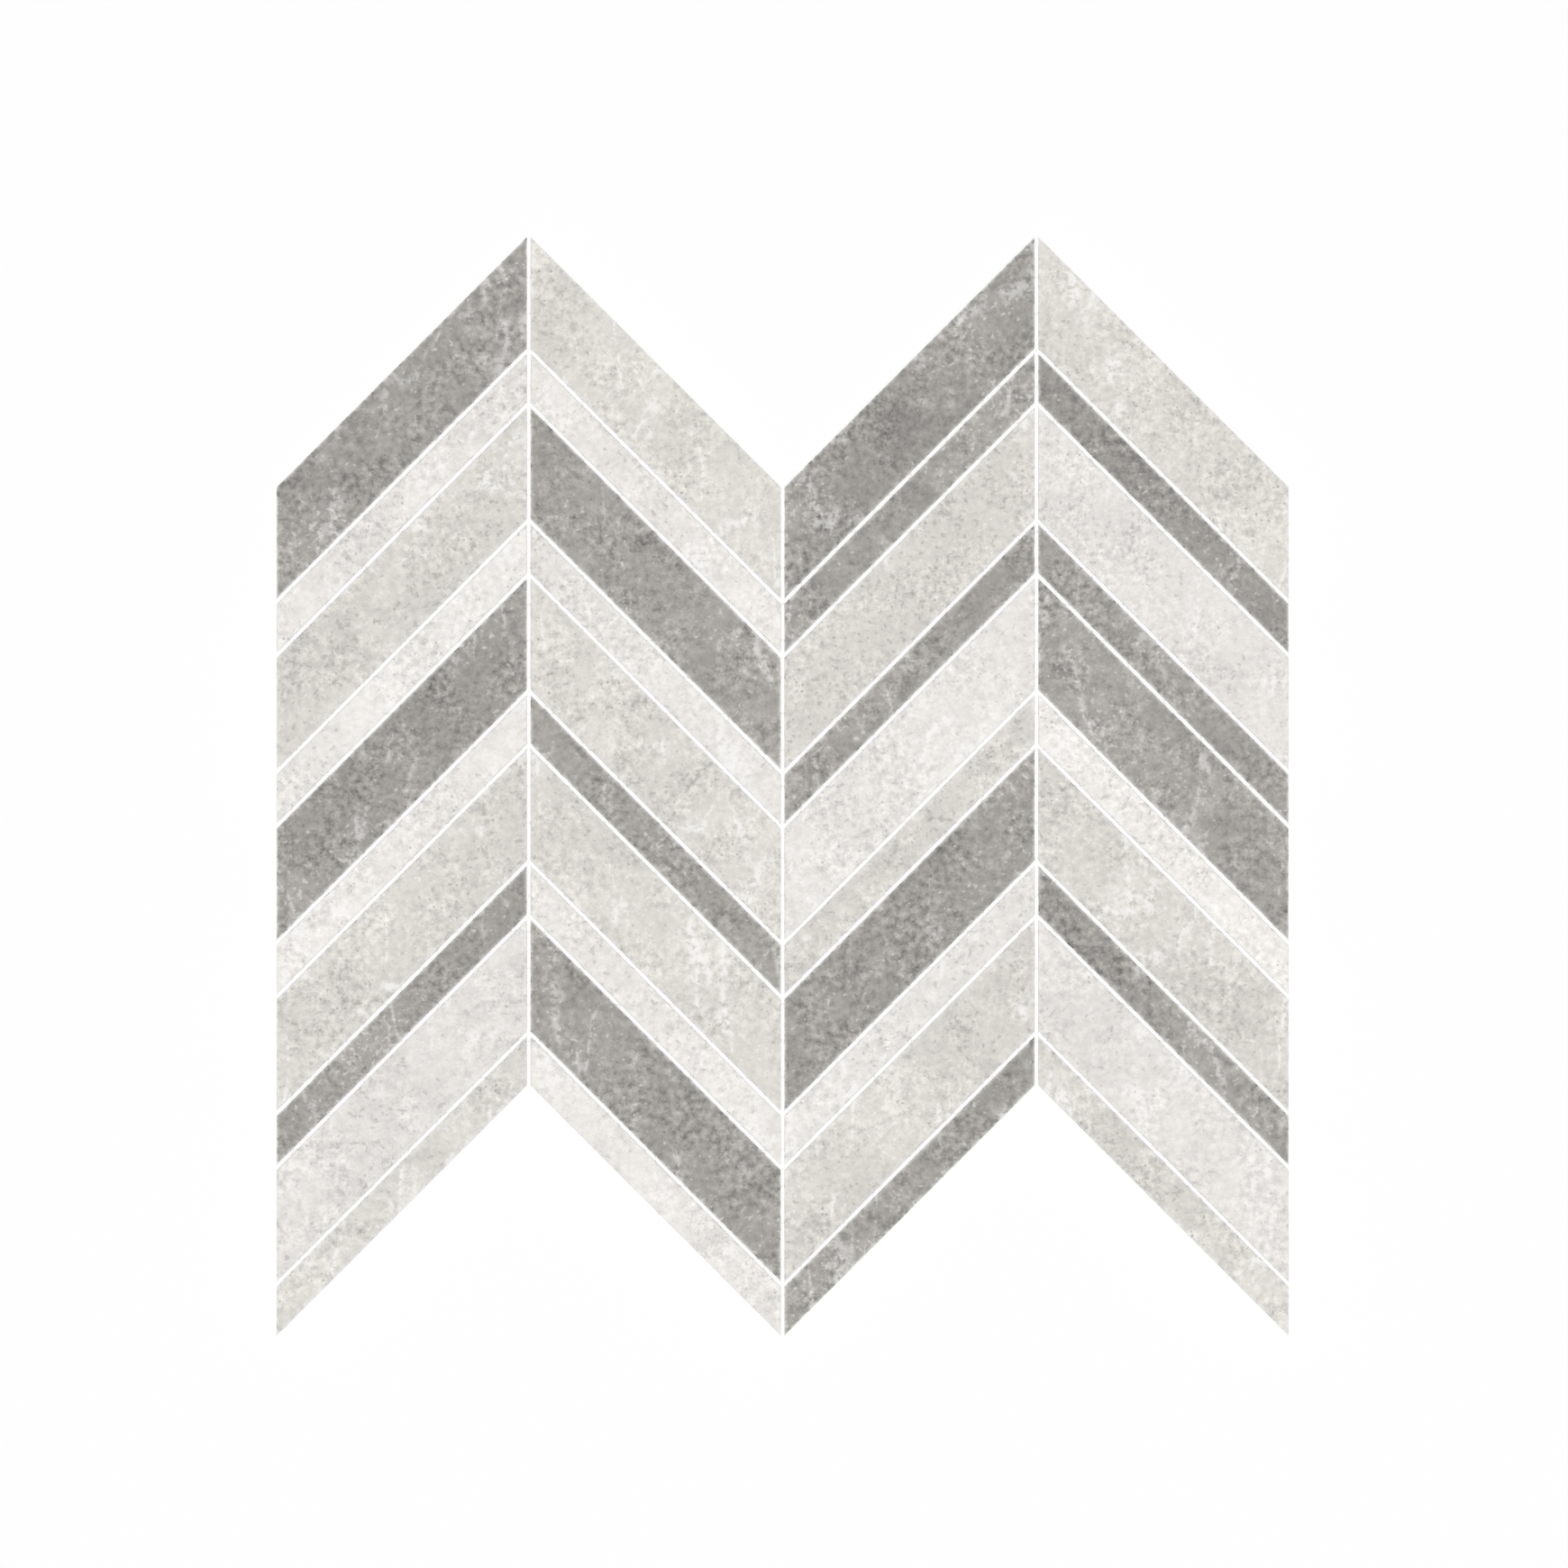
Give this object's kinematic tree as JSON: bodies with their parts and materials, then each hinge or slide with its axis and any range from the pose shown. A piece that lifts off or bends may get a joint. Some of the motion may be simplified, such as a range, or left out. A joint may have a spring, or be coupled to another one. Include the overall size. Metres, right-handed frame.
{
  "type": "chevron mosaic tile sheet",
  "caption": "Flat mosaic sheet of leaning porcelain strips in a chevron pattern, with zigzag ends and open joints, glued to a glass-fibre net for bonding to a wall or floor.",
  "frame": {"origin": "middle of the sheet's underside, on the plane that the net's lower yarns rest on", "axes": "+X across the columns to the right, +Y along the columns towards the pointed end, +Z out of the printed face"},
  "size_m": [0.3006, 0.3262, 0.0096],
  "materials": {
    "dark_grey_porcelain": "matte",
    "greige_porcelain": "matte",
    "off_white_porcelain": "matte",
    "glass_fibre_net": "matte"
  },
  "bodies": {
    "root": {"wide_strip_a01": "dark_grey_porcelain", "narrow_strip_a02": "off_white_porcelain", "wide_strip_a03": "greige_porcelain", "narrow_strip_a04": "off_white_porcelain", "wide_strip_a05": "dark_grey_porcelain", "narrow_strip_a06": "off_white_porcelain", "wide_strip_a07": "greige_porcelain", "narrow_strip_a08": "dark_grey_porcelain", "wide_strip_a09": "off_white_porcelain", "narrow_strip_a10": "greige_porcelain", "net_panel_a": "glass_fibre_net", "wide_strip_b01": "greige_porcelain", "narrow_strip_b02": "off_white_porcelain", "wide_strip_b03": "dark_grey_porcelain", "narrow_strip_b04": "off_white_porcelain", "wide_strip_b05": "greige_porcelain", "narrow_strip_b06": "dark_grey_porcelain", "wide_strip_b07": "greige_porcelain", "narrow_strip_b08": "off_white_porcelain", "wide_strip_b09": "dark_grey_porcelain", "narrow_strip_b10": "off_white_porcelain", "net_panel_b": "glass_fibre_net", "wide_strip_c01": "dark_grey_porcelain", "narrow_strip_c02": "dark_grey_porcelain", "wide_strip_c03": "greige_porcelain", "narrow_strip_c04": "dark_grey_porcelain", "wide_strip_c05": "off_white_porcelain", "narrow_strip_c06": "greige_porcelain", "wide_strip_c07": "dark_grey_porcelain", "narrow_strip_c08": "off_white_porcelain", "wide_strip_c09": "greige_porcelain", "narrow_strip_c10": "dark_grey_porcelain", "net_panel_c": "glass_fibre_net", "wide_strip_d01": "greige_porcelain", "narrow_strip_d02": "dark_grey_porcelain", "wide_strip_d03": "off_white_porcelain", "narrow_strip_d04": "dark_grey_porcelain", "wide_strip_d05": "dark_grey_porcelain", "narrow_strip_d06": "off_white_porcelain", "wide_strip_d07": "greige_porcelain", "narrow_strip_d08": "dark_grey_porcelain", "wide_strip_d09": "off_white_porcelain", "narrow_strip_d10": "greige_porcelain", "net_panel_d": "glass_fibre_net"}
  },
  "joints": []
}
